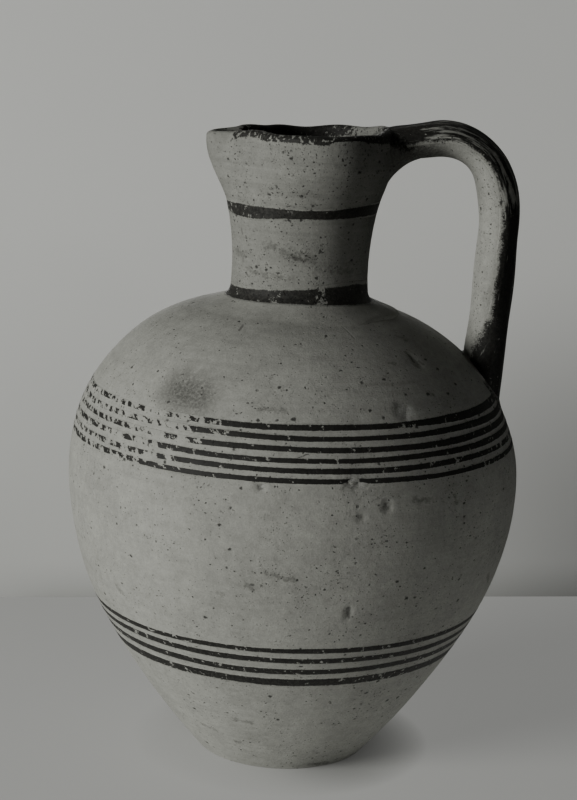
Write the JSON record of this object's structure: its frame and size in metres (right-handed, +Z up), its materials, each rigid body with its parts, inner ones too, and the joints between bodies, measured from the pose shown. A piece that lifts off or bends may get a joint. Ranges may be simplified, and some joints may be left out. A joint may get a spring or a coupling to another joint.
{
  "type": "oinochoe jug",
  "caption": "Wheel-made pottery wine jug with an egg-shaped body on a flat foot, a waisted neck, a pinched trefoil mouth, a strap handle from lip to shoulder, and dark painted bands.",
  "frame": {"origin": "centre of the flat foot, on the surface the jug stands on", "axes": "+Z up along the wheel axis, +X toward the handle, the spout points to -X"},
  "size_m": [0.2084, 0.2083, 0.297],
  "materials": {
    "clay": "matte unglazed fired clay, pale buff, finely pitted",
    "luting_clay": "the same clay smoothed by hand over the joins",
    "dark_slip": "matte dark slip paint, worn"
  },
  "bodies": {
    "root": {"body": "clay", "neck": "clay", "handle": "clay", "neck_luting": "luting_clay", "throat_luting": "luting_clay", "root_luting": "luting_clay", "shoulder_band_1": "dark_slip", "shoulder_band_2": "dark_slip", "shoulder_band_3": "dark_slip", "shoulder_band_4": "dark_slip", "shoulder_band_5": "dark_slip", "shoulder_band_6": "dark_slip", "belly_band_1": "dark_slip", "belly_band_2": "dark_slip", "belly_band_3": "dark_slip", "belly_band_4": "dark_slip", "neck_band_upper": "dark_slip", "neck_band_lower": "dark_slip", "rim_paint": "dark_slip", "handle_paint": "dark_slip"}
  },
  "joints": []
}
